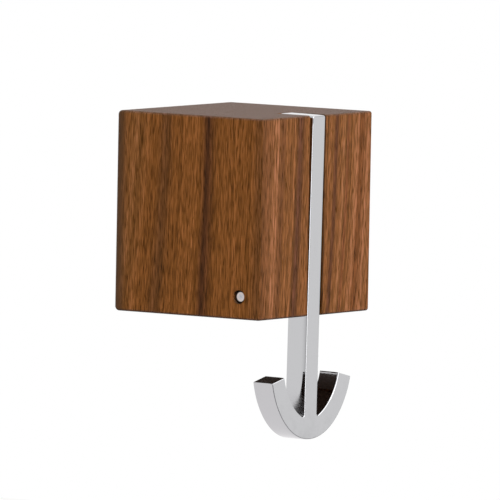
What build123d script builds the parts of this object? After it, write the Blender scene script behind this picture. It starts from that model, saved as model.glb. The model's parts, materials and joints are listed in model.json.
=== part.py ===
from build123d import *
from math import acos, asin, cos, degrees, radians, sin, sqrt, tan
import os

# Wall hook: a block of walnut with a folding lever let into its front.
#
# The lever is one chromed casting: a blade that fills a slot in the block, a heel that turns on
# a cross pin, a shank, and an anchor-shaped double hook. Drawing the top of the blade forward
# swings the anchor back under the block, and the blade then stands out as a rail for hangers.
#
# Millimetres. The origin is the centre of the block's back face, which lies on the wall.
# +Z is up, +X is to the right as seen from the room, and -Y points out into the room.

# Block
block_width = 70.0
block_depth = 65.0
block_height = 73.0
block_edge_radius = 1.0
wall_edge_radius = 2.5  # the four edges that lie against the wall
slot_arris_radius = 0.4

# Lever
lever_thickness = 8.0
blade_depth = 14.5
shank_depth = 8.5
arm_width = 8.0
arm_inner_radius = 21.7  # each arm is struck from the far side of the shank, so the arms flare
hook_drop = 16.7  # from the block's underside down to the level of those two centres
arm_end_angle = 12.6  # each arm ends this many degrees below the level of its centre
keel_radius = 23.2  # the arc that joins the two arms along the bottom
hook_corner_radius = 0.8  # where the shank runs into the hook
lever_edge_radius = 0.4
lever_rear_chamfer = 0.5

# Pivot
pin_diameter = 5.0
pin_length = 50.0
pin_end_chamfer = 0.6
pin_recess = 0.7  # how far the pin's end lies below the block's left face
pin_setback = 9.1  # from the block's front face back to the pin's axis
pin_rise = 8.2  # from the block's underside up to the pin's axis
washer_diameter = 10.0
washer_thickness = 0.5

# How the lever stands, in degrees
closed_lean = 0.7  # the blade's top leans out a little when the lever is let go
fold_travel = 73.0  # from there to where the arms come up against the underside

# Keyhole in the back for one wall screw
keyhole_diameter = 10.0
keyhole_rise = 12.0  # from the centre of the back face up to the round entry
keyhole_slot_width = 5.0
keyhole_slot_run = 10.0
keyhole_lip = 4.0  # the wood that the screw's head bears behind
keyhole_undercut_width = 11.5
keyhole_depth = 11.0

# Clearances
lever_setback = 0.2  # the lever's front lies this far behind the block's front at the pin
swing_gap = 0.4  # all round the lever as it turns, in the plane of the swing
washer_play = 0.1  # between each washer and the lever
running_gap = 0.05  # radial, of the lever and the washers on the pin
press_gap = 0.01  # radial, of the pin in the wood
pin_end_gap = 1.0  # beyond the pin's blind end
cut_past = 5.0  # how far a cut runs out past the face that it opens

# Values that follow from these
pin_radius = pin_diameter / 2
slot_half_width = lever_thickness / 2 + washer_play + washer_thickness
lever_front = lever_setback - pin_setback
heel_radius = lever_front + blade_depth
shank_rear = lever_front + shank_depth
blade_top = block_height - pin_rise
hook_centre = -pin_rise - hook_drop
arm_shift = lever_thickness / 2
arm_outer_radius = arm_inner_radius + arm_width
keel_turn = degrees(asin(arm_shift / (arm_outer_radius - keel_radius)))
keel_centre = hook_centre - arm_shift / tan(radians(keel_turn))
shank_foot = hook_centre - arm_inner_radius - arm_width / 2

# Planes. On the two side planes x runs back towards the wall, y runs up and the pin is at zero.
# On the lever's front plane x runs to the right and y runs up.
pin_point = (0, pin_setback - block_depth, pin_rise - block_height / 2)
block_side = Plane(origin=pin_point, x_dir=(0, 1, 0), z_dir=(1, 0, 0))
lever_back = (0, cos(radians(closed_lean)), sin(radians(closed_lean)))
lever_side = Plane(origin=pin_point, x_dir=lever_back, z_dir=(1, 0, 0))
lever_face = Plane(
    origin=lever_side.from_local_coords((lever_front, 0)),
    x_dir=(1, 0, 0),
    z_dir=-lever_side.x_dir,
)
block_back = Plane(origin=(0, 0, keyhole_rise), x_dir=(-1, 0, 0), z_dir=(0, 1, 0))
pin_start = block_side.offset(pin_recess - block_width / 2)

# Slot: upright behind the blade, then a short arc round the heel, then a ramp under which the
# shank lies when the lever is folded out
folded_lean = closed_lean + fold_travel
heel_room = heel_radius + swing_gap
ramp_offset = shank_rear + swing_gap
ramp_up = (cos(radians(folded_lean)), sin(radians(folded_lean)))
ramp_along = (sin(radians(folded_lean)), -cos(radians(folded_lean)))
ramp_start = sqrt(heel_room**2 - ramp_offset**2)
ramp_end = (pin_rise + cut_past + ramp_offset * ramp_up[1]) / -ramp_along[1]
ramp_head = (
    ramp_offset * ramp_up[0] + ramp_start * ramp_along[0],
    ramp_offset * ramp_up[1] + ramp_start * ramp_along[1],
)
ramp_foot = (
    ramp_offset * ramp_up[0] + ramp_end * ramp_along[0],
    ramp_offset * ramp_up[1] + ramp_end * ramp_along[1],
)
slot_mouth = -pin_setback - cut_past

with BuildPart() as wood_block:
    Box(block_width, block_depth, block_height, align=(Align.CENTER, Align.MAX, Align.CENTER))
    with BuildSketch(block_side):
        with BuildLine():
            Line((slot_mouth, -pin_rise - cut_past), ramp_foot)
            Line(ramp_foot, ramp_head)
            RadiusArc(ramp_head, (heel_room, 0), -heel_room)
            Line((heel_room, 0), (heel_room, blade_top + cut_past))
            Line((heel_room, blade_top + cut_past), (slot_mouth, blade_top + cut_past))
            Line((slot_mouth, blade_top + cut_past), (slot_mouth, -pin_rise - cut_past))
        make_face()
    extrude(amount=slot_half_width, both=True, mode=Mode.SUBTRACT)

    # Outer edges, softest against the wall, then the edges of the slot
    fillet(wood_block.faces().sort_by(Axis.Y)[-1].edges(), wall_edge_radius)
    left_face = wood_block.faces().sort_by(Axis.X)[0]
    right_face = wood_block.faces().sort_by(Axis.X)[-1]
    front_edges = wood_block.edges().group_by(Axis.Y)[0].filter_by(Axis.X)
    fillet(left_face.edges() + right_face.edges() + front_edges, block_edge_radius)
    slot_sides = wood_block.faces().filter_by(Axis.X).filter_by_position(
        Axis.X, -lever_thickness, lever_thickness
    )
    slot_edges = slot_sides.edges()
    slot_mouth_edges = slot_edges.group_by(Axis.Y)[0]
    slot_end_edges = slot_edges.group_by(Axis.Z)[0] + slot_edges.group_by(Axis.Z)[-1]
    fillet(slot_mouth_edges + slot_end_edges, slot_arris_radius)

    with BuildSketch(pin_start.offset(-cut_past)):
        Circle(pin_radius + press_gap)
    extrude(amount=cut_past + pin_length + pin_end_gap, mode=Mode.SUBTRACT)

    with BuildSketch(block_back):
        Circle(keyhole_diameter / 2)
        with Locations((0, keyhole_slot_run / 2)):
            SlotCenterToCenter(keyhole_slot_run, keyhole_slot_width, rotation=90)
    extrude(amount=-keyhole_depth, mode=Mode.SUBTRACT)
    with BuildSketch(block_back.offset(-keyhole_lip)):
        with Locations((0, keyhole_slot_run / 2)):
            SlotCenterToCenter(keyhole_slot_run, keyhole_undercut_width, rotation=90)
    extrude(amount=keyhole_lip - keyhole_depth, mode=Mode.SUBTRACT)

with BuildPart() as hook_lever:
    # Anchor: the two arms, each a band of even width, and the keel arc that joins them
    with BuildSketch(lever_face):
        with BuildLine():
            arm_centre = (arm_shift, hook_centre)
            arm_start = 180 + arm_end_angle
            outer_sweep = 90 - keel_turn - arm_end_angle
            inner_sweep = degrees(acos(arm_shift / arm_inner_radius)) - arm_end_angle
            outer_arc = CenterArc(arm_centre, arm_outer_radius, arm_start, outer_sweep)
            inner_arc = CenterArc(arm_centre, arm_inner_radius, arm_start, inner_sweep)
            Line(outer_arc @ 0, inner_arc @ 0)
            mirror(about=Plane.YZ)
            CenterArc((0, keel_centre), keel_radius, 270 - keel_turn, 2 * keel_turn)
        make_face()
    extrude(amount=-shank_depth)

    # Blade, heel and shank, down to the middle of the hook's band
    with BuildSketch(lever_side):
        with BuildLine():
            heel_sweep = -degrees(acos(shank_rear / heel_radius))
            heel = CenterArc((0, 0), heel_radius, 0, heel_sweep)
            Polyline(
                heel @ 1,
                (shank_rear, shank_foot),
                (lever_front, shank_foot),
                (lever_front, blade_top),
                (heel_radius, blade_top),
                heel @ 0,
            )
        make_face()
    extrude(amount=lever_thickness / 2, both=True)

    # Inside corners where the shank runs into the hook, the edges on the wall side, and then the
    # polished edges that show
    depth_edges = hook_lever.edges().filter_by(Axis((0, 0, 0), lever_back))
    shank_corners = depth_edges.filter_by_position(Axis.X, -lever_thickness, lever_thickness)
    fillet(shank_corners.sort_by(Axis.Z)[:2], hook_corner_radius)
    wall_side = hook_lever.faces().filter_by(Axis((0, 0, 0), lever_back)).sort_by(Axis.Y)[1]
    chamfer(wall_side.edges().sort_by(Axis.Z)[:-1], lever_rear_chamfer)
    flats = hook_lever.faces().filter_by(GeomType.PLANE)
    front = flats.sort_by(Axis.Y)[0]
    blade_rear = flats.sort_by(Axis.Y)[-1]
    top = flats.sort_by(Axis.Z)[-1]
    tip_faces = flats.sort_by(Axis.X)[:1] + flats.sort_by(Axis.X)[-1:]
    tip_edges = tip_faces.edges().filter_by(Axis((0, 0, 0), lever_back))
    blade_edges = blade_rear.edges().filter_by(Axis((0, 0, 0), lever_side.y_dir))
    fillet(front.edges() + top.edges() + blade_edges + tip_edges, lever_edge_radius)

    with BuildSketch(lever_side):
        Circle(pin_radius + running_gap)
    extrude(amount=lever_thickness, both=True, mode=Mode.SUBTRACT)

with BuildPart() as pivot_pin:
    with BuildSketch(pin_start):
        Circle(pin_radius)
    extrude(amount=pin_length)
    chamfer(pivot_pin.edges().filter_by(GeomType.CIRCLE), pin_end_chamfer)

washer_places = {
    "spacer_washer_left": -slot_half_width,
    "spacer_washer_right": slot_half_width - washer_thickness,
}
washers = {}
for washer_name, washer_start in washer_places.items():
    with BuildPart() as washer:
        with BuildSketch(block_side.offset(washer_start)):
            Circle(washer_diameter / 2)
            Circle(pin_radius + running_gap, mode=Mode.SUBTRACT)
        extrude(amount=washer_thickness)
    washers[washer_name] = washer.part

pieces = {
    "wood_block": wood_block.part,
    "hook_lever": hook_lever.part,
    "pivot_pin": pivot_pin.part,
    **washers,
}
os.makedirs("parts", exist_ok=True)
for piece_name, piece in pieces.items():
    piece.label = piece_name
    export_step(piece, f"parts/{piece_name}.step")
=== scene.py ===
"""Looks of the wall hook: a walnut block with a folding chromed lever.

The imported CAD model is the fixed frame. The block, the pin and the washers keep their CAD solids
and get their finishes here. The lever is made again as one smooth surface, because flat facets
would show in its mirror finish.

Sizes are in millimetres where nothing else is said, and meshes are written in metres, as the frame
is. +Z is up, +X is to the right as seen from the room, and -Y points out into the room.
"""

import json
import logging
import math
from dataclasses import dataclass
from enum import Enum

import bpy
import numpy as np
from mathutils import Matrix, Vector


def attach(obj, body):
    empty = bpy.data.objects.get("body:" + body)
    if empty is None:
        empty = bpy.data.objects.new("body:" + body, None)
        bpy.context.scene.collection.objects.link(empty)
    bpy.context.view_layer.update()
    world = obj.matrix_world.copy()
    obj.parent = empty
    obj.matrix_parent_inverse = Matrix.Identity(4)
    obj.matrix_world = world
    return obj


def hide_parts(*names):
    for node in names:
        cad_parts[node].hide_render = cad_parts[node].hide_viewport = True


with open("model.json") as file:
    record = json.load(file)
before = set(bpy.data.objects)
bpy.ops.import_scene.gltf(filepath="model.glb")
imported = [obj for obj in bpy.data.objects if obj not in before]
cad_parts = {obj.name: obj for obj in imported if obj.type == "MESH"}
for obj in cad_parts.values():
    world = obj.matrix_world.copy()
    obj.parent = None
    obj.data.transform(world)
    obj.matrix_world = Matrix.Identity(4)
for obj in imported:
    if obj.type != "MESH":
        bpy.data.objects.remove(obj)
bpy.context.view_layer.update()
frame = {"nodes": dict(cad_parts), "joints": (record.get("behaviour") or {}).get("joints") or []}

MM = 0.001
LOG = logging.getLogger("wall_hook")

Array = np.ndarray
Material = bpy.types.Material
Socket = bpy.types.NodeSocket
Tree = bpy.types.NodeTree
Triple = tuple[float, float, float]
Pair = tuple[float, float]

# How a Map Range node eases in and out
SMOOTH = {"interpolation_type": "SMOOTHSTEP"}

# A point on the pin's axis, which runs along X, in metres
PIN_PLACE: Triple = tuple(frame["joints"][0]["pos_m"])


class Slot(Enum):
    """The record's material slots."""

    WALNUT = "walnut"
    CHROME = "chrome"
    STEEL = "steel"
    NYLON = "nylon"


class LampUse(Enum):
    """What a lamp is for: whether it lights matt surfaces, and whether it shows in mirrors."""

    LIGHT = (True, False)
    LIGHT_AND_MIRROR = (True, True)
    MIRROR = (False, True)


def linear(hex_colour: str) -> tuple[float, float, float, float]:
    """Turn an sRGB hex colour into linear light.

    Args:
        hex_colour: Six hex digits with a leading hash.

    Returns:
        Linear red, green and blue, with an alpha of one.
    """
    srgb = np.array([int(hex_colour[i : i + 2], 16) for i in (1, 3, 5)]) / 255
    light = np.where(srgb <= 0.04045, srgb / 12.92, ((srgb + 0.055) / 1.055) ** 2.4)
    return (*light.tolist(), 1.0)


def add_node(
    tree: Tree,
    kind: str,
    inputs: dict[str, object] | tuple[object, ...] = (),
    output: str | None = None,
    stops: tuple[tuple[float, str], ...] = (),
    **settings: object,
) -> Socket | None:
    """Add a node to a tree, with its settings and its links.

    Args:
        tree: The tree that takes the node.
        kind: The node's type, without Blender's "ShaderNode" before it, and its operation after a
            full stop, if it has one.
        inputs: What goes into the sockets in use, by their names or in their order: another node's
            socket is linked, and a value is set.
        output: The name of the output to give back, if it isn't the first in use.
        stops: A colour ramp's places and sRGB hex colours.
        settings: The node's other properties.

    Returns:
        The output's socket, or none from a node that ends its tree.
    """
    node_type, _, operation = kind.partition(".")
    node = tree.nodes.new("ShaderNode" + node_type)
    if operation:
        settings["operation"] = operation
    for name, value in settings.items():
        setattr(node, name, value)
    used = [socket for socket in node.inputs if socket.enabled]
    sockets = dict(enumerate(used)) | {socket.name: socket for socket in reversed(used)}
    for key, value in inputs.items() if isinstance(inputs, dict) else enumerate(inputs):
        if isinstance(value, Socket):
            tree.links.new(value, sockets[key])
        else:
            sockets[key].default_value = value
    if stops:
        elements = node.color_ramp.elements
        while len(elements) < len(stops):
            elements.new(1.0)
        for element, (place, colour) in zip(elements, stops):
            element.position = place
            element.color = linear(colour)
    given = (socket for socket in node.outputs if socket.enabled and output in (None, socket.name))
    return next(given, None)


def new_material(name: str) -> tuple[Material, Tree]:
    """Make an empty node material.

    Args:
        name: The material's name.

    Returns:
        The material and its cleared node tree.
    """
    material = bpy.data.materials.new(name)
    material.use_nodes = True
    material.node_tree.nodes.clear()
    return material, material.node_tree


def new_object(
    name: str, points: Array, faces: list[list[int]], material: Material
) -> bpy.types.Object:
    """Put a surface into the scene as an object at the origin.

    Args:
        name: The object's name.
        points: Vertex places in millimetres, one row each.
        faces: Vertex numbers of each face, turning outwards.
        material: The finish of the whole surface.

    Returns:
        The new object.
    """
    mesh = bpy.data.meshes.new(name)
    mesh.from_pydata((points * MM).tolist(), [], faces)
    mesh.materials.append(material)
    mesh.shade_smooth()
    mesh.validate()
    made = bpy.data.objects.new(name, mesh)
    bpy.context.scene.collection.objects.link(made)
    return made


def arc(centre: Array, radius: float | Array, start: float, stop: float, steps: int) -> Array:
    """Points on an arc: the centre plus the radius times the cosine and the sine of the turn.

    Args:
        centre: The arc's centre.
        radius: Its radius, or one for each point.
        start: Its first angle, in radians.
        stop: Its last angle.
        steps: How many even steps it makes between them.

    Returns:
        The points, one row each, with both ends included.
    """
    turn = np.linspace(start, stop, steps + 1)
    return centre + radius * np.stack([np.cos(turn), np.sin(turn)], 1)


@dataclass(frozen=True)
class Streak:
    """A dark or light streak in the heartwood, placed along the ring coordinate in millimetres.

    It can be narrower on its inner side, towards the pith, where the year's growth ends sharply.
    """

    centre: float
    half_width: float
    colour: str
    inner_share: float = 1.0


@dataclass(frozen=True)
class GrainNoise:
    """Noise with cells of a width across the grain and a length along it, which is upright."""

    width: float
    length: float
    detail: float = 1.0

    def draw(self, tree: Tree, place: Socket) -> Socket:
        """Draw the noise.

        Args:
            tree: The tree that takes the nodes.
            place: The place in the wood, in millimetres.

        Returns:
            The noise, from zero to one.
        """
        scale = (1 / self.width, 1 / self.width, 1 / self.length)
        scaled = add_node(tree, "VectorMath.MULTIPLY", (place, scale))
        return add_node(tree, "TexNoise", {"Vector": scaled, "Scale": 1.0, "Detail": self.detail})


@dataclass(frozen=True)
class LogPlace:
    """Where a point lies in the log, in millimetres.

    The ring coordinate runs out from the pith, and along holds the place as the grain leans. The
    block's own places are sideways, along X, and depth, along Y, which is zero at the wall.
    """

    ring: Socket
    along: Socket
    sideways: Socket
    depth: Socket


@dataclass(frozen=True)
class Figure:
    """The wood's fine figure: growth lines and pores from zero to one, and their joint tone."""

    lines: Socket
    pores: Socket
    tone: Socket


@dataclass(frozen=True)
class OiledWalnut:
    """American walnut heartwood, planed, sanded fine and oiled.

    The eye gets a warm brown with upright streaks: broad dark pigment bands, fine growth lines,
    and open pores that show as short dark dashes on the long grain and as dots on the end grain.
    The oil leaves a low sheen that turns grey where the surface is seen at a low angle.

    A spread is the stretch of a noise that is used, and a tone is the factor on the colour that
    it turns into, from the spread's low end to its high end. Pores and fibres are drawn a little
    coarser than real ones, so that they show in the picture.
    """

    plain: str = "#7F4D21"
    # Plain wood past the outer start, over most of the front face: lighter and bluer, partly
    # painted sheen
    plain_outer_with_sheen: str = "#865329"
    outer_start: float = 0.0
    # End grain's colour: darker from oil, and greyer partly as painted sheen
    end_grain_with_sheen: str = "#5E4638"
    tone_powers: Triple = (0.94, 1.0, 1.6)

    radial: Triple = (0.957, -0.287, 0.0)
    tangential: Triple = (0.287, 0.957, 0.0)
    pith_distance: float = 150.0
    fan: float = 0.0021
    fan_axis: Triple = (1.0, 0.4, 0.0)
    fan_start: float = -61.0
    fan_span: float = 110.0
    bend: float = 0.008
    wobble: float = 1.0
    wobble_noise: GrainNoise = GrainNoise(40.0, 80.0, 2.0)

    ring_start: float = -35.0
    ring_end: float = 63.0
    streaks: tuple[Streak, ...] = (
        Streak(-30.5, 2.0, "#805128"),
        Streak(-23.8, 1.2, "#613B1A"),
        Streak(-13.0, 1.6, "#4A2911", 0.6),
        Streak(2.7, 1.7, "#69401D"),
        Streak(4.6, 1.3, "#7A4A25"),
        Streak(9.4, 1.6, "#955F38"),
        Streak(12.6, 0.7, "#704320", 0.6),
        Streak(20.2, 1.6, "#5E371F", 0.75),
        Streak(38.5, 1.1, "#5D351B", 0.7),
        Streak(43.2, 1.1, "#986239"),
        Streak(44.7, 0.6, "#73411E"),
        Streak(49.3, 1.2, "#99623A"),
        Streak(51.5, 0.6, "#7C4821"),
        Streak(55.6, 1.7, "#98613A"),
    )

    line_width: float = 1.3
    line_detail: float = 1.5
    line_roughness: float = 0.7
    line_spread: Pair = (0.3, 0.7)
    line_tone: Pair = (0.72, 1.28)
    fibre_noise: GrainNoise = GrainNoise(0.42, 6.0)
    fibre_spread: Pair = (0.25, 0.75)
    fibre_tone: Pair = (0.46, 1.54)
    pore_noise: GrainNoise = GrainNoise(0.36, 4.5)
    pore_spread: Pair = (0.52, 0.68)
    pore_tone: Pair = (1.06, 0.48)
    pore_depth: float = 0.05

    # Painted shade in the slot's gap beside the blade: its place, reach and tone, and where it
    # fades
    slot_shade_place: float = 4.8
    slot_shade_reach: Pair = (0.3, 0.6)
    slot_shade_tone: float = 0.3
    slot_rear: Pair = (-50.2, -49.7)
    # Painted shade on the rounded rear edges, which turn away from the light: reach, colour and
    # share
    rear_edge: Pair = (-6.3, -2.2)
    rear_shade_colour: str = "#513722"
    rear_shade_share: float = 0.9
    rear_facing: float = 0.6
    crisp_reach: Pair = (-60.0, -40.0)
    rear_roundness: float = 4.0

    roughness: float = 0.46
    pore_dulling: float = 0.25
    end_dulling: float = 0.12
    specular: float = 0.11

    def ring_stops(self) -> tuple[tuple[float, str], ...]:
        """Colour the rings: each streak has its colour, with plain wood on both sides.

        Returns:
            The ramp's places and colours.
        """
        span = self.ring_end - self.ring_start
        stops = []
        edge = 0.0
        plain = self.plain
        for streak in self.streaks:
            place = (streak.centre - self.ring_start) / span
            reach = 2 * streak.half_width / span
            start = place - reach * streak.inner_share
            if start > edge:
                stops += [(edge, plain), (start, plain)]
            stops.append((place, streak.colour))
            edge = place + reach
            # Past the outer start, plain wood takes the colour that holds painted sheen
            plain = self.plain if streak.centre < self.outer_start else self.plain_outer_with_sheen
        return (*stops, (edge, plain))

    def log_place(self, tree: Tree) -> LogPlace:
        """Find each point's place in the log, so that every face cuts the same log.

        The ring coordinate is the distance from the pith's axis, less the block's own distance
        from it, with a slow wobble added. The grain fans out from the left front edge: the further
        from there, the more it leans, and more below than above.

        Args:
            tree: The tree that takes the nodes.

        Returns:
            The point's places.
        """
        place = add_node(tree, "TexCoord", output="Object")
        grain = add_node(tree, "VectorMath.SCALE", (place, 1 / MM))
        sideways, depth, level = add_node(tree, "SeparateXYZ", (grain,)).node.outputs
        outward = add_node(tree, "VectorMath.DOT_PRODUCT", (grain, self.radial))
        across = add_node(tree, "VectorMath.DOT_PRODUCT", (grain, self.tangential))

        # How far the fanning grain leans outwards here
        spreading = add_node(tree, "VectorMath.DOT_PRODUCT", (grain, self.fan_axis))
        away = add_node(tree, "Math.SUBTRACT", (spreading, self.fan_start))
        easing = add_node(tree, "Math.MULTIPLY_ADD", (away, -1 / self.fan_span, 1.0))
        bowed = add_node(tree, "Math.MULTIPLY", (away, easing))
        curl = add_node(tree, "Math.MULTIPLY_ADD", (level, -self.bend, 1.0))
        swung = add_node(tree, "Math.MULTIPLY", (level, curl))
        fanned = add_node(tree, "Math.MULTIPLY", (bowed, swung))
        leaned = add_node(tree, "Math.MULTIPLY_ADD", (fanned, -self.fan, outward))
        along = add_node(tree, "CombineXYZ", (leaned, across, level))

        # Distance from the pith, with the wobble
        from_pith = add_node(tree, "Math.ADD", (leaned, self.pith_distance))
        spread = add_node(tree, "CombineXYZ", (from_pith, across))
        radius = add_node(tree, "VectorMath.LENGTH", (spread,))
        drift = self.wobble_noise.draw(tree, grain)
        shifted = add_node(tree, "Math.MULTIPLY_ADD", (drift, 2 * self.wobble, radius))
        ring = add_node(tree, "Math.SUBTRACT", (shifted, self.pith_distance + self.wobble))
        return LogPlace(ring, along, sideways, depth)

    def figure(self, tree: Tree, place: LogPlace) -> Figure:
        """Draw the growth lines, the fibres and the pores.

        Noise on the ring coordinate alone draws the growth lines. Noise stretched along the
        leaning grain draws the fibres and the pores.

        Args:
            tree: The tree that takes the nodes.
            place: The point's place in the log.

        Returns:
            The figure.
        """
        lines = add_node(
            tree,
            "TexNoise",
            {
                "W": place.ring,
                "Scale": 1 / self.line_width,
                "Detail": self.line_detail,
                "Roughness": self.line_roughness,
            },
            noise_dimensions="1D",
        )
        fibres = self.fibre_noise.draw(tree, place.along)
        dashes = self.pore_noise.draw(tree, place.along)
        pores = add_node(tree, "MapRange", (dashes, *self.pore_spread), **SMOOTH)
        line_tone = add_node(tree, "MapRange", (lines, *self.line_spread, *self.line_tone))
        fibre_tone = add_node(tree, "MapRange", (fibres, *self.fibre_spread, *self.fibre_tone))
        pore_tone = add_node(tree, "MapRange", (pores, 0.0, 1.0, *self.pore_tone))
        grown = add_node(tree, "Math.MULTIPLY", (line_tone, fibre_tone))
        tone = add_node(tree, "Math.MULTIPLY", (grown, pore_tone))
        return Figure(lines, pores, tone)

    def edge_tones(self, tree: Tree, place: LogPlace, facing: Socket) -> tuple[Socket, Socket]:
        """How far the slot's right wall and the upright rear edges are darkened.

        Painted shade darkens the slot's right wall and arris, where the gap beside the blade lies
        in shade, so the tone falls near them. Painted shade also darkens the rounded rear edges,
        which turn
        away from the light: its share grows towards the wall that the block hangs on, and only
        where the surface faces sideways.

        Args:
            tree: The tree that takes the nodes.
            place: The point's place in the log.
            facing: The normal's share along X.

        Returns:
            The slot's painted shade as a tone, one for plain wood, and the share of painted shade
            on the rear edges, none for plain wood.
        """
        # Painted shade on the slot's right wall and arris
        beside = add_node(tree, "Math.SUBTRACT", (place.sideways, self.slot_shade_place))
        off_wall = add_node(tree, "Math.ABSOLUTE", (beside,))
        on_wall = add_node(tree, "MapRange", (place.depth, *self.slot_rear, self.slot_shade_tone))
        slot_shade = add_node(tree, "MapRange", (off_wall, *self.slot_shade_reach, on_wall), **SMOOTH)
        # Painted shade on the rounded rear edges, where the surface faces sideways
        askance = add_node(tree, "Math.ABSOLUTE", (facing,))
        most = add_node(tree, "MapRange", (askance, 0.0, self.rear_facing, 0.0, self.rear_shade_share))
        rear_shade = add_node(tree, "MapRange", (place.depth, *self.rear_edge, 0.0, most), **SMOOTH)
        return slot_shade, rear_shade

    def colour(
        self, tree: Tree, place: LogPlace, figure: Figure, facing: Socket, end: Socket
    ) -> Socket:
        """Colour the wood.

        A ramp turns the ring coordinate into plain wood and streaks. End grain drinks more oil, and
        its grey tone is partly painted sheen. Dark fibres are redder than pale ones: each channel
        takes its own power of the tone.

        Args:
            tree: The tree that takes the nodes.
            place: The point's place in the log.
            figure: The wood's fine figure there.
            facing: The normal's share along X.
            end: How far the surface shows end grain.

        Returns:
            The colour.
        """
        on_ramp = add_node(tree, "MapRange", (place.ring, self.ring_start, self.ring_end))
        wood = add_node(tree, "ValToRGB", (on_ramp,), stops=self.ring_stops())
        wood.node.color_ramp.interpolation = "EASE"
        # The end grain's grey tone is partly painted sheen
        base = add_node(tree, "Mix", (end, wood, linear(self.end_grain_with_sheen)), data_type="RGBA")
        slot_shade, rear_shade = self.edge_tones(tree, place, facing)
        # The slot's painted shade darkens the figure's tone
        tone = add_node(tree, "Math.MULTIPLY", (figure.tone, slot_shade))
        channels = tuple(add_node(tree, "Math.POWER", (tone, power)) for power in self.tone_powers)
        tint = add_node(tree, "CombineColor", channels)
        figured = add_node(tree, "Mix", (1.0, base, tint), data_type="RGBA", blend_type="MULTIPLY")
        # The rear edges' painted shade is mixed over the figured wood
        return add_node(tree, "Mix", (rear_shade, figured, linear(self.rear_shade_colour)), data_type="RGBA")

    def arris(self, tree: Tree, normal: Socket, depth: Socket) -> Socket:
        """The normal to shade with, which turns quickly at the front edges, as on a planed arris.

        The cube of each share of the normal pulls it to the nearest face. Towards the rear edges,
        which are sanded round, the plain normal outweighs it.

        Args:
            tree: The tree that takes the nodes.
            normal: The surface's own normal.
            depth: The place along Y, which is zero at the wall.

        Returns:
            The normal for the shading.
        """
        squared = add_node(tree, "VectorMath.MULTIPLY", (normal, normal))
        cubed = add_node(tree, "VectorMath.MULTIPLY", (squared, normal))
        roundness = add_node(tree, "MapRange", (depth, *self.crisp_reach, 0.0, self.rear_roundness))
        plain = add_node(tree, "VectorMath.SCALE", (normal, roundness))
        pulled = add_node(tree, "VectorMath.ADD", (cubed, plain))
        return add_node(tree, "VectorMath.NORMALIZE", (pulled,))

    def material(self) -> Material:
        """Build the wood: its colour, its sheen and the relief of its pores.

        Open pores are dull and lie a little deep, and the rings on the end grain are dull too.

        Returns:
            The walnut material.
        """
        material, tree = new_material("oiled_walnut")
        place = self.log_place(tree)
        figure = self.figure(tree, place)
        normal = add_node(tree, "NewGeometry", output="Normal")
        facing, _, upright = add_node(tree, "SeparateXYZ", (normal,)).node.outputs
        end = add_node(tree, "Math.ABSOLUTE", (upright,))
        dullest = self.roughness + self.pore_dulling
        long_sheen = add_node(tree, "MapRange", (figure.pores, 0.0, 1.0, self.roughness, dullest))
        dull = add_node(tree, "Math.MULTIPLY", (end, figure.lines))
        sheen = add_node(tree, "Math.MULTIPLY_ADD", (dull, self.end_dulling, long_sheen))
        relief = add_node(
            tree,
            "Bump",
            {
                "Height": figure.pores,
                "Strength": 1.0,
                "Distance": self.pore_depth * MM,
                "Normal": self.arris(tree, normal, place.depth),
            },
            invert=True,
        )
        shader = add_node(
            tree,
            "BsdfPrincipled",
            {
                "Base Color": self.colour(tree, place, figure, facing, end),
                "Roughness": sheen,
                "Normal": relief,
                "Specular IOR Level": self.specular,
            },
        )
        add_node(tree, "OutputMaterial", {"Surface": shader})
        return material


@dataclass(frozen=True)
class PolishedChrome:
    """Zinc casting, buffed and plated with bright chrome.

    The eye gets a neutral mirror with a faint softness from the buffing, so that it shows its
    surroundings: pale where it faces the room, black where it faces the block's underside.
    """

    plate: str = "#C4C4C6"
    roughness: Pair = (0.04, 0.09)
    buffing_size: float = 3.0
    buffing_detail: float = 4.0
    buffing_spread: Pair = (0.3, 0.7)
    ripple_size: float = 14.0
    ripple_depth: float = 0.006
    hollow_softness: float = 0.24
    hollow_reach: Pair = (12.0, 3.0)

    def material(self, hollow: Array) -> Material:
        """Build the plate: a mirror whose softness and flatness vary a little with the buffing.

        Its sides are softest in the hollow of the hook, where the wheel does not reach well.

        Args:
            hollow: The place between the hook's two inside corners, in metres.

        Returns:
            The chrome material.
        """
        material, tree = new_material("polished_chrome_plate")
        place = add_node(tree, "TexCoord", output="Object")
        scale = 1 / (self.buffing_size * MM)
        buffing = add_node(
            tree, "TexNoise", {"Vector": place, "Scale": scale, "Detail": self.buffing_detail}
        )
        buffed = add_node(tree, "MapRange", (buffing, *self.buffing_spread, *self.roughness))
        away = add_node(tree, "VectorMath.DISTANCE", (place, hollow))
        far, near = self.hollow_reach
        reach = (away, far * MM, near * MM, 0.0, self.hollow_softness)
        unpolished = add_node(tree, "MapRange", reach, **SMOOTH)
        normal = add_node(tree, "NewGeometry", output="Normal")
        facing = add_node(tree, "SeparateXYZ", (normal,), output="X")
        askance = add_node(tree, "Math.ABSOLUTE", (facing,))
        softness = add_node(tree, "Math.MULTIPLY_ADD", (unpolished, askance, buffed))
        ripple_scale = 1 / (self.ripple_size * MM)
        ripple = add_node(tree, "TexNoise", {"Vector": place, "Scale": ripple_scale})
        relief = add_node(tree, "Bump", {"Height": ripple, "Distance": self.ripple_depth * MM})
        plate = linear(self.plate)
        shader = add_node(
            tree,
            "BsdfPrincipled",
            {"Base Color": plate, "Metallic": 1.0, "Roughness": softness, "Normal": relief},
        )
        add_node(tree, "OutputMaterial", {"Surface": shader})
        return material


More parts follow.
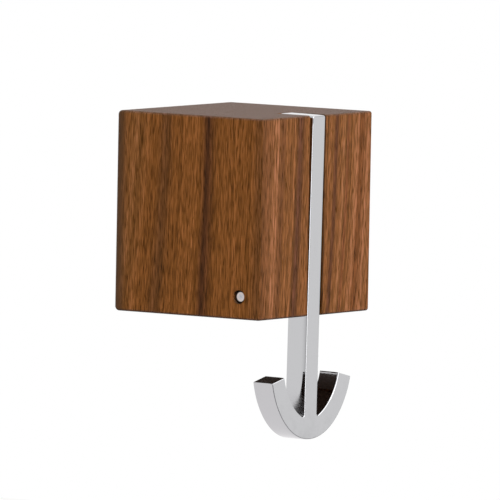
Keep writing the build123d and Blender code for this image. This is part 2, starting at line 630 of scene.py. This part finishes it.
@dataclass(frozen=True)
class GroundSteel:
    """Steel dowel pin, ground round and cropped, with a brushed end.

    The eye gets a soft grey disc with fine marks and no clear reflection. Its middle, its ring of
    painted highlight and its painted shade lie at shares of the painted shade's radius.
    """

    # The middle is the metal's own grey; the bright ring is painted highlight, the dark rim painted
    # shade
    middle: str = "#C6C5CA"
    rim_highlight: str = "#DCD2CE"
    hole_shade: str = "#2B211B"
    hole_shade_radius: float = 1.85
    middle_share: float = 0.3
    rim_highlight_shares: Pair = (0.65, 0.85)
    bright_shift: Triple = (0.0, -0.4, 0.05)
    roughness: float = 0.36
    mark_size: float = 0.5
    mark_detail: float = 3.0
    mark_tone: Pair = (0.72, 1.12)
    mark_depth: float = 0.01

    def material(self) -> Material:
        """Build the steel: grey metal with fine mottling from grinding.

        The end is brightest in a ring a little off its axis, which is a painted highlight. Outside
        that ring, painted shade darkens the metal for the shade of the hole that the end sits in.

        Returns:
            The steel material.
        """
        material, tree = new_material("ground_steel")
        place = add_node(tree, "TexCoord", output="Object")
        centre = np.array(PIN_PLACE) + np.array(self.bright_shift) * MM
        offset = add_node(tree, "VectorMath.SUBTRACT", (place, centre))
        radial = add_node(tree, "VectorMath.MULTIPLY", (offset, (0.0, 1.0, 1.0)))
        radius = add_node(tree, "VectorMath.LENGTH", (radial,))
        share = add_node(tree, "Math.DIVIDE", (radius, self.hole_shade_radius * MM))
        ring_start, ring_end = self.rim_highlight_shares
        # Grey middle, then a ring of painted highlight, then painted shade outwards
        ground = add_node(
            tree,
            "ValToRGB",
            (share,),
            stops=(
                (self.middle_share, self.middle),
                (ring_start, self.rim_highlight),
                (ring_end, self.rim_highlight),
                (1.0, self.hole_shade),
            ),
        )
        mark_scale = 1 / (self.mark_size * MM)
        marks = add_node(
            tree, "TexNoise", {"Vector": place, "Scale": mark_scale, "Detail": self.mark_detail}
        )
        tone = add_node(tree, "MapRange", (marks, 0.0, 1.0, *self.mark_tone))
        colour = add_node(tree, "Mix", (1.0, ground, tone), data_type="RGBA", blend_type="MULTIPLY")
        relief = add_node(tree, "Bump", {"Height": marks, "Distance": self.mark_depth * MM})
        shader = add_node(
            tree,
            "BsdfPrincipled",
            {"Base Color": colour, "Metallic": 1.0, "Roughness": self.roughness, "Normal": relief},
        )
        add_node(tree, "OutputMaterial", {"Surface": shader})
        return material


@dataclass(frozen=True)
class PunchedNylon:
    """Black nylon sheet, punched into washers.

    The eye gets a dull black with a slight bloom from the sheet's rolled skin.
    """

    dark: str = "#1B1B1C"
    bloom: str = "#2A2A2B"
    bloom_size: float = 1.5
    bloom_spread: Pair = (0.35, 0.7)
    roughness: float = 0.55

    def material(self) -> Material:
        """Build the nylon: dull black with a soft cloudy bloom.

        Returns:
            The nylon material.
        """
        material, tree = new_material("punched_black_nylon")
        place = add_node(tree, "TexCoord", output="Object")
        cloud_scale = 1 / (self.bloom_size * MM)
        cloud = add_node(tree, "TexNoise", {"Vector": place, "Scale": cloud_scale})
        stops = tuple(zip(self.bloom_spread, (self.dark, self.bloom)))
        colour = add_node(tree, "ValToRGB", (cloud,), stops=stops)
        shader = add_node(
            tree, "BsdfPrincipled", {"Base Color": colour, "Roughness": self.roughness}
        )
        add_node(tree, "OutputMaterial", {"Surface": shader})
        return material


def dress(node: str, material: Material) -> None:
    """Give a CAD node its finish.

    Args:
        node: The CAD node's name.
        material: Its new finish.
    """
    piece = frame["nodes"][node]
    piece.data.materials.clear()
    piece.data.materials.append(material)
    LOG.info("dressed %s in %s", node, material.name)


@dataclass
class WalnutBlock:
    """The block, which keeps its CAD solid."""

    node: str = "wood_block"

    def build(self) -> None:
        """Dress the block in oiled walnut."""
        dress(self.node, OiledWalnut().material())


@dataclass
class Pivot:
    """The cross pin and its two washers, which keep their CAD solids."""

    pin: str = "pivot_pin"
    washers: tuple[str, ...] = ("spacer_washer_left", "spacer_washer_right")

    def build(self) -> None:
        """Dress the pin in ground steel and the washers in nylon."""
        dress(self.pin, GroundSteel().material())
        nylon = PunchedNylon().material()
        for washer in self.washers:
            dress(washer, nylon)


@dataclass
class HookLever:
    """The chromed lever: blade, heel, shank and anchor hook, as one closed surface.

    Its own coordinates have the pin at zero: u to the right, w back towards the wall, v up along
    the blade. The surface is the front outline carried through the depth of the casting. The
    outline shrinks into a quarter round at the front and again at the back.
    """

    node: str = "hook_lever"
    body: str = "lever"
    thickness: float = 8.0
    blade_depth: float = 14.5
    blade_top: float = 64.8
    shank_depth: float = 8.5
    front: float = -8.9
    arm_width: float = 8.0
    arm_inner_radius: float = 21.7
    hook_centre: float = -24.9
    arm_end_deg: float = 12.6
    keel_radius: float = 23.2
    corner_fillet: float = 0.8
    front_round: float = 0.3
    hollow_bevel: float = 0.24
    rear_round: float = 0.28
    tip_corner: float = 0.3
    least_round: float = 0.02
    top_corner: float = 1.0
    crown: float = 0.12
    crown_reach: float = 3.0
    lean_deg: float = 0.7
    bore_radius: float = 2.55

    round_steps: int = 5
    crown_steps: int = 8
    corner_steps: int = 6
    blade_steps: int = 24
    heel_steps: int = 24
    heel_stretch: float = 1.2
    shank_steps: int = 16
    arm_steps: int = 72
    keel_steps: int = 40
    bore_steps: int = 64
    flat_weight: int = 100

    @property
    def arm_centre(self) -> Array:
        """Centre of the left arm's arcs, on the far side of the shank, so that the arms flare."""
        return np.array([self.thickness / 2, self.hook_centre])

    @property
    def arm_outer_radius(self) -> float:
        """Outer radius of each arm."""
        return self.arm_inner_radius + self.arm_width

    @property
    def keel_turn(self) -> float:
        """How far the keel's arc reaches to each side, in radians, where it meets the arms."""
        return math.asin(self.thickness / 2 / (self.arm_outer_radius - self.keel_radius))

    @property
    def keel_centre(self) -> Array:
        """Centre of the arc that joins the two arms along the bottom."""
        drop = (self.arm_outer_radius - self.keel_radius) * math.cos(self.keel_turn)
        return np.array([0.0, self.hook_centre - drop])

    @property
    def heel_radius(self) -> float:
        """Radius of the heel about the pin, which is also the blade's rear face."""
        return self.front + self.blade_depth

    @property
    def shank_rear(self) -> float:
        """Depth of the rear face of the shank and the arms."""
        return self.front + self.shank_depth

    @property
    def fillet_centre(self) -> Array:
        """Find the left inside corner's centre, a fillet's radius from the shank and the arc.

        Returns:
            The centre as (u, v).
        """
        across = -(self.thickness / 2 + self.corner_fillet)
        reach = self.arm_inner_radius - self.corner_fillet
        drop = math.sqrt(reach**2 - (across - self.arm_centre[0]) ** 2)
        return np.array([across, self.hook_centre - drop])

    def side_view(self) -> tuple[Array, Array, Array]:
        """The lever from its side, from the blade's top corner down to the shank's inside corner.

        The blade's rear is upright, the heel is an arc about the pin, and the shank's rear is
        upright again. The front is upright all the way, with one height for each rear place.

        Returns:
            The front's heights, and the rear's places and outward normals as rows of (w, v).
        """
        corner, foot = self.blade_top - self.top_corner, self.fillet_centre[1]
        heel_foot = -self.heel_stretch * self.heel_radius
        blade = np.linspace(corner, 0, self.blade_steps, endpoint=False)
        front_heel = np.linspace(0, heel_foot, self.heel_steps)
        front_shank = np.linspace(heel_foot, foot, self.shank_steps + 1)[1:]
        turn = np.linspace(0, math.acos(self.shank_rear / self.heel_radius), self.heel_steps)
        heel = np.stack([np.cos(turn), -np.sin(turn)], 1)
        shank = np.linspace(-self.heel_radius, foot, self.shank_steps + 1)[1:]
        places = np.concatenate(
            [
                np.stack([np.full_like(blade, self.heel_radius), blade], 1),
                heel * self.heel_radius,
                np.stack([np.full_like(shank, self.shank_rear), shank], 1),
            ]
        )
        normals = np.tile([1.0, 0.0], (len(places), 1))
        normals[len(blade) : -len(shank)] = heel
        return np.concatenate([blade, front_heel, front_shank]), places, normals

    def half_outline(self, inset: float, hollow: float) -> dict[str, Array]:
        """Left half of the front outline, shrunk by an inset, as stretches of (u, v) points.

        The stretches run from the blade's top down the left side, round the inside corner, along
        the arm's inner arc, round its square end, back along the outer arc and along the keel's
        arc to the bottom.

        Args:
            inset: How far the outline lies inside the casting's true outline.
            hollow: The same along the arm's inner arc.

        Returns:
            The points of each stretch by name.
        """
        half = self.thickness / 2
        corner = max(self.tip_corner, inset + self.least_round)
        round_left = corner - inset
        end = math.radians(180 + self.arm_end_deg)
        end_across = end - math.pi / 2
        keel_end = 1.5 * math.pi
        keel_start = keel_end - self.keel_turn
        arm = self.arm_centre
        top_corner = np.array([self.top_corner - half, self.blade_top - self.top_corner])
        side = self.side_view()[0]
        fillet_end = math.atan2(*(self.fillet_centre - arm)[::-1])
        inner_start = fillet_end + 2 * math.pi
        inner_radius = self.arm_inner_radius + hollow
        outer_radius = self.arm_outer_radius - inset
        inner_middle = inner_radius + round_left
        outer_middle = self.arm_outer_radius - corner
        inner_turn = end + math.asin(corner / inner_middle)
        outer_turn = end + math.asin(corner / outer_middle)
        inner_tip = arc(arm, inner_middle, inner_turn, 0, 1)[0]
        outer_tip = arc(arm, outer_middle, outer_turn, 0, 1)[0]
        keel_radius = self.keel_radius - inset
        steps = self.corner_steps
        fillet = self.corner_fillet + np.linspace(inset, hollow, steps + 1)[:, None]
        return {
            "top": arc(top_corner, self.top_corner - inset, math.pi / 2, math.pi, steps)[:-1],
            "side": np.stack([np.full_like(side, inset - half), side], 1)[:-1],
            "fillet": arc(self.fillet_centre, fillet, 0, fillet_end, steps),
            "inner": arc(arm, inner_radius, inner_start, inner_turn, self.arm_steps)[1:-1],
            "inner_corner": arc(inner_tip, round_left, inner_turn - math.pi, end_across, steps),
            "outer_corner": arc(outer_tip, round_left, end_across, outer_turn, steps),
            "outer": arc(arm, outer_radius, outer_turn, keel_start, self.arm_steps)[1:],
            "keel": arc(self.keel_centre, keel_radius, keel_start, keel_end, self.keel_steps)[1:-1],
        }

    def outline(self, inset: float, hollow: float) -> Array:
        """The stretches of the left half's outline in one array."""
        return np.concatenate(list(self.half_outline(inset, hollow).values()))

    def spans(self) -> dict[str, slice]:
        """Count off the stretches of the left half's outline.

        Returns:
            Where each stretch lies among the outline's points, by name.
        """
        parts = self.half_outline(0.0, 0.0)
        ends = np.cumsum([len(part) for part in parts.values()])
        return {name: slice(end - len(part), end) for (name, part), end in zip(parts.items(), ends)}

    def rear_of(self, outline: Array) -> tuple[Array, Array]:
        """Rear face behind each outline point: its place and outward normal in the side view.

        The blade, heel and shank follow the side view, and the arms are as deep as the shank.

        Args:
            outline: The left half's points at no inset.

        Returns:
            Rear places and normals as rows of (w, v).
        """
        side = self.spans()["side"]
        places = np.stack([np.full(len(outline), self.shank_rear), outline[:, 1]], 1)
        normals = np.tile([1.0, 0.0], (len(outline), 1))
        _, blade, blade_normals = self.side_view()
        places[: side.start, 0] = self.heel_radius
        places[side] = blade[:-1]
        normals[side] = blade_normals[:-1]
        return places, normals

    def rings(self) -> Array:
        """Rings of the outline from front to back, with the right half mirrored from the left.

        Ring k of a quarter round of radius r stands at the angle t: its outline is inset by
        r(1 - cos t) and lies r(1 - sin t) inside the face. The wheel does not reach so well into
        the hollow of the hook, so there the edge is a bevel, inset by its width times sin t. The
        other sides are rolled off a little towards the front: behind the round, at the share s
        of the way back to where they are true, they are inset by the crown times (1 - s) cubed.

        Returns:
            Points (u, w, v) by ring and by place along the outline.
        """
        plain = self.outline(0.0, 0.0)
        rear, rear_normals = self.rear_of(plain)
        turns = np.linspace(math.pi / 2, 0, self.round_steps + 1)
        shares = np.linspace(0, 1, self.crown_steps + 1)[1:]
        insets = np.concatenate(
            [self.crown + self.front_round * (1 - np.cos(turns)), self.crown * (1 - shares) ** 3]
        )
        depths = np.concatenate(
            [self.front_round * (1 - np.sin(turns)), self.front_round + self.crown_reach * shares]
        )
        hollows = np.concatenate([self.hollow_bevel * np.sin(turns), np.zeros_like(shares)])
        rings = []
        for inset, hollow, depth in zip(insets, hollows, depths):
            outline = self.outline(inset, hollow)
            across = np.full(len(plain), self.front + depth)
            rings.append(np.stack([outline[:, 0], across, outline[:, 1]], 1))
        for turn in turns[::-1]:
            inset = self.rear_round * (1 - math.cos(turn))
            outline = self.outline(inset, inset)
            inside = rear - self.rear_round * (1 - math.sin(turn)) * rear_normals
            height = inside[:, 1] + outline[:, 1] - plain[:, 1]
            rings.append(np.stack([outline[:, 0], inside[:, 0], height], 1))
        left = np.stack(rings)
        right = left[:, ::-1] * np.array([-1.0, 1.0, 1.0])
        return np.concatenate([left, right], 1)

    def end_faces(self) -> tuple[Array, list[Array]]:
        """Faces that fill the front end, as numbers within one ring, turning outwards.

        Strips of quads cross the blade and the arms. Flat faces fill the top, tips and keel.

        Returns:
            The quads, one row each, and the flat faces.
        """
        span = self.spans()
        own = np.arange(span["keel"].stop)
        mirror = 2 * len(own) - 1 - own
        side = own[span["side"].start : span["fillet"].start + 1]
        inner = own[span["fillet"].stop - 1 : span["inner_corner"].start + 1]
        outer = own[span["outer_corner"].stop - 1 : span["keel"].start][::-1]
        blade_strip = np.stack([side[:-1], side[1:], mirror[side[1:]], mirror[side[:-1]]], 1)
        arm_strip = np.stack([inner[:-1], inner[1:], outer[1:], outer[:-1]], 1)
        arm_mirror = mirror[arm_strip][:, ::-1]
        top = own[: span["side"].start + 1]
        tip = own[span["inner_corner"].start : span["outer_corner"].stop]
        keel = np.concatenate([own[span["fillet"]], own[span["keel"].start - 1 :]])
        flats = [
            np.concatenate([top, mirror[top][::-1]]),
            tip,
            mirror[tip][::-1],
            np.concatenate([keel, mirror[keel][::-1]]),
        ]
        return np.concatenate([blade_strip, arm_strip, arm_mirror]), flats

    def surface(self) -> tuple[Array, list[list[int]]]:
        """The whole lever: quads between neighbouring rings, with both ends filled.

        Returns:
            Points as rows of (u, w, v), and faces.
        """
        rings = self.rings()
        number = np.arange(rings[..., 0].size).reshape(rings.shape[:2])
        here, there = number[:-1], number[1:]
        walls = np.stack([here, np.roll(here, -1, 1), np.roll(there, -1, 1), there], -1)
        strips, flats = self.end_faces()
        last = number[-1, 0]
        faces = walls.reshape(-1, 4).tolist() + strips.tolist()
        faces += (strips[:, ::-1] + last).tolist()
        for flat in flats:
            faces += [flat.tolist(), (flat[::-1] + last).tolist()]
        return rings.reshape(-1, 3), faces

    def bore(self) -> tuple[Array, list[list[int]]]:
        """A closed cylinder through the heel along u, which cuts the pin's hole.

        Returns:
            Points as rows of (u, w, v), and faces.
        """
        turn = np.linspace(0, 2 * math.pi, self.bore_steps, endpoint=False)
        circle = self.bore_radius * np.stack([np.zeros_like(turn), np.cos(turn), np.sin(turn)], 1)
        offset = np.array([self.thickness, 0, 0])
        first = np.arange(self.bore_steps)
        second = first + self.bore_steps
        wall = np.stack([first, np.roll(first, -1), np.roll(second, -1), second], 1)
        faces = wall.tolist() + [first[::-1].tolist(), second.tolist()]
        return np.concatenate([circle - offset, circle + offset]), faces

    def to_frame(self, points: Array) -> Array:
        """Place points of (u, w, v) at the hinge, with the lever's lean about the pin.

        Args:
            points: Places in the lever's own coordinates.

        Returns:
            Places in the frame, in millimetres.
        """
        lean = math.radians(self.lean_deg)
        axes = np.array(
            [
                [1.0, 0.0, 0.0],
                [0.0, math.cos(lean), math.sin(lean)],
                [0.0, -math.sin(lean), math.cos(lean)],
            ]
        )
        return points @ axes + np.array(PIN_PLACE) / MM

    def build(self) -> None:
        """Make the lever, bore it for the pin, and let it ride on its body."""
        hollow = np.array([[0.0, (self.front + self.shank_rear) / 2, self.fillet_centre[1]]])
        chrome = PolishedChrome().material(self.to_frame(hollow)[0] * MM)
        points, faces = self.surface()
        lever = new_object("anchor_lever", self.to_frame(points), faces, chrome)
        cutter_points, cutter_faces = self.bore()
        cutter = new_object("bore_cutter", self.to_frame(cutter_points), cutter_faces, chrome)

        cut = lever.modifiers.new("pin_bore", "BOOLEAN")
        cut.operation = "DIFFERENCE"
        cut.solver = "EXACT"
        cut.object = cutter
        bpy.context.view_layer.update()
        worked = lever.evaluated_get(bpy.context.evaluated_depsgraph_get())
        bored = bpy.data.meshes.new_from_object(worked)
        lever.modifiers.clear()
        lever.data = bored
        bpy.data.objects.remove(cutter)

        flats = lever.modifiers.new("flat_faces", "WEIGHTED_NORMAL")
        flats.mode = "FACE_AREA"
        flats.weight = self.flat_weight
        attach(lever, self.body)
        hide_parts(self.node)
        LOG.info("built %s with %d faces", lever.name, len(bored.polygons))


@dataclass(frozen=True)
class Softbox:
    """A flat lamp: its place, width and height in metres, and its power in watts."""

    name: str
    place: Triple
    width: float
    height: float
    power: float
    use: LampUse

    def build(self) -> None:
        """Hang the lamp, turned to the object, with the use that it is for."""
        lamp = bpy.data.lights.new(self.name, "AREA")
        lamp.shape = "RECTANGLE"
        lamp.size = self.width
        lamp.size_y = self.height
        lamp.energy = self.power
        made = bpy.data.objects.new(self.name, lamp)
        made.location = self.place
        made.rotation_mode = "QUATERNION"
        made.rotation_quaternion = (-Vector(self.place)).to_track_quat("-Z", "Y")
        made.visible_camera = False
        made.visible_diffuse, made.visible_glossy = self.use.value
        bpy.context.scene.collection.objects.link(made)
        LOG.info("lit %s", self.name)


@dataclass(frozen=True)
class Studio:
    """A white studio: pale floor, white surroundings, soft lamps, and a dark end of the room.

    Lengths are in metres. The dome's reach is in heights of a direction, and the dark end's reach
    in cosines of the angle to it.
    """

    white: str = "#FFFFFF"
    floor_level: float = -0.30
    floor_half: float = 1.6
    floor_colour: str = "#F3F3F1"
    floor_glow: float = 0.93
    floor_bounce: str = "#2E2E2D"
    floor_far: str = "#FFFDFE"
    floor_near: str = "#A0A0A1"
    floor_edge: Pair = (-0.09, -0.20)
    dome_low: str = "#2B2A29"
    dome_reach: Pair = (-0.35, 0.35)
    dome_strength: float = 0.5
    dark_end: Triple = (-0.94, -0.34, 0.05)
    dark_reach: Pair = (0.58, 0.93)
    dark_colour: str = "#989899"
    lamps: tuple[Softbox, ...] = (
        Softbox("key_softbox", (-0.45, -1.20, 0.65), 1.3, 1.3, 10.5, LampUse.LIGHT_AND_MIRROR),
        Softbox("left_softbox", (-1.30, -0.60, 0.55), 0.9, 0.9, 11.6, LampUse.LIGHT),
        Softbox("ceiling_softbox", (0.30, -0.70, 1.00), 1.5, 1.5, 8.0, LampUse.LIGHT_AND_MIRROR),
        Softbox("edge_card", (-0.41, -0.80, -0.11), 0.40, 0.17, 0.75, LampUse.MIRROR),
    )

    def build(self) -> None:
        """Build the floor, the surroundings and the lamps."""
        self.build_floor()
        self.build_world()
        for lamp in self.lamps:
            lamp.build()

    def seen_or_not(self, tree: Tree, seen: Socket, mirrored: Socket, unseen: Socket) -> Socket:
        """Choose a shader by the kind of ray.

        Args:
            tree: The tree that takes the nodes.
            seen: What the camera sees, also through glass.
            mirrored: What mirrors show.
            unseen: What lights the object.

        Returns:
            The shader.
        """
        path = add_node(tree, "LightPath").node.outputs
        sight = (path["Is Camera Ray"], path["Is Transmission Ray"])
        direct = add_node(tree, "Math.MAXIMUM", sight)
        around = add_node(tree, "MixShader", (path["Is Glossy Ray"], unseen, mirrored))
        return add_node(tree, "MixShader", (direct, around, seen))

    def build_floor(self) -> None:
        """Lay the floor: white to the eye, with the object's shadow kept.

        In mirrors it is pale behind the object and dim in front of it, where the paper ends.
        """
        material, tree = new_material("matt_white_floor")
        paint = add_node(tree, "BsdfDiffuse", {"Color": linear(self.floor_colour)})
        glow = add_node(tree, "Emission", {"Color": linear(self.white), "Strength": 1.0})
        seen = add_node(tree, "MixShader", (self.floor_glow, paint, glow))
        place = add_node(tree, "TexCoord", output="Object")
        forward = add_node(tree, "SeparateXYZ", (place,), output="Y")
        ending = add_node(tree, "MapRange", (forward, *self.floor_edge))
        stops = ((0.0, self.floor_far), (1.0, self.floor_near))
        paper = add_node(tree, "ValToRGB", (ending,), stops=stops)
        mirrored = add_node(tree, "Emission", {"Color": paper, "Strength": 1.0})
        bounce = add_node(tree, "BsdfDiffuse", {"Color": linear(self.floor_bounce)})
        surface = self.seen_or_not(tree, seen, mirrored, bounce)
        add_node(tree, "OutputMaterial", {"Surface": surface})
        reach = self.floor_half / MM
        corners = np.array([[-reach, -reach], [reach, -reach], [reach, reach], [-reach, reach]])
        points = np.column_stack([corners, np.full(4, self.floor_level / MM)])
        floor = new_object("studio_floor", points, [[0, 1, 2, 3]], material)
        LOG.info("laid %s", floor.name)

    def build_world(self) -> None:
        """Set the surroundings: white to the eye, and a soft dome of light from above.

        In mirrors the surroundings are white too, but for the dim end of the room where the
        camera stands, which draws the thin dark lines along the lever's rounded edges.
        """
        world = bpy.data.worlds.new("white_studio")
        world.use_nodes = True
        tree = world.node_tree
        tree.nodes.clear()
        direction = add_node(tree, "TexCoord", output="Generated")
        height = add_node(tree, "SeparateXYZ", (direction,), output="Z")
        risen = add_node(tree, "MapRange", (height, *self.dome_reach))
        dome_stops = ((0.0, self.dome_low), (1.0, self.white))
        dome_colour = add_node(tree, "ValToRGB", (risen,), stops=dome_stops)
        dome = add_node(tree, "Background", {"Color": dome_colour, "Strength": self.dome_strength})
        towards = add_node(tree, "VectorMath.DOT_PRODUCT", (direction, self.dark_end))
        dim = add_node(tree, "MapRange", (towards, *self.dark_reach), **SMOOTH)
        room_stops = ((0.0, self.white), (1.0, self.dark_colour))
        room = add_node(tree, "ValToRGB", (dim,), stops=room_stops)
        mirrored = add_node(tree, "Background", {"Color": room, "Strength": 1.0})
        backdrop = add_node(tree, "Background", {"Color": linear(self.white), "Strength": 1.0})
        surface = self.seen_or_not(tree, backdrop, mirrored, dome)
        add_node(tree, "OutputWorld", {"Surface": surface})
        bpy.context.scene.world = world


@dataclass(frozen=True)
class PhotoCamera:
    """A long lens at the photograph's viewing angle.

    The angles say where the camera stands, as seen from the block. The aim is the point, in the
    picture's own right and up directions from the origin, that lies in the middle of the frame.
    """

    azimuth_deg: float = -55.065
    elevation_deg: float = 4.338
    roll_deg: float = 1.070
    aim_right: float = 29.242
    aim_up: float = -16.318
    distance: float = 4858.1
    focal_px: float = 13297.9
    image_px: int = 500
    sensor: float = 36.0
    clip_ratio: float = 10.0

    def build(self) -> None:
        """Make the camera and set it as the scene's."""
        azimuth, elevation = math.radians(self.azimuth_deg), math.radians(self.elevation_deg)
        back = Vector(
            (
                math.sin(azimuth) * math.cos(elevation),
                -math.cos(azimuth) * math.cos(elevation),
                math.sin(elevation),
            )
        )
        level = Vector((math.cos(azimuth), math.sin(azimuth), 0.0))
        turn = Matrix.Rotation(math.radians(self.roll_deg), 3, back)
        right = turn @ level
        up = turn @ back.cross(level)
        place = right * self.aim_right + up * self.aim_up + back * self.distance
        lens = bpy.data.cameras.new("photo_camera")
        lens.sensor_width = self.sensor
        lens.lens = self.focal_px / self.image_px * self.sensor
        lens.clip_end = self.clip_ratio * self.distance * MM
        camera = bpy.data.objects.new("photo_camera", lens)
        axes = Matrix((right, up, back)).transposed().to_4x4()
        camera.matrix_world = Matrix.Translation(place * MM) @ axes
        bpy.context.scene.collection.objects.link(camera)
        bpy.context.scene.camera = camera
        LOG.info("set %s", camera.name)


def main() -> None:
    """Dress the block and the pivot, build the lever, and set up the studio and the camera."""
    logging.basicConfig(level=logging.INFO, format="%(message)s")
    bpy.context.scene.view_settings.view_transform = "Standard"
    WalnutBlock().build()
    Pivot().build()
    HookLever().build()
    Studio().build()
    PhotoCamera().build()


if __name__ == "__main__":
    main()
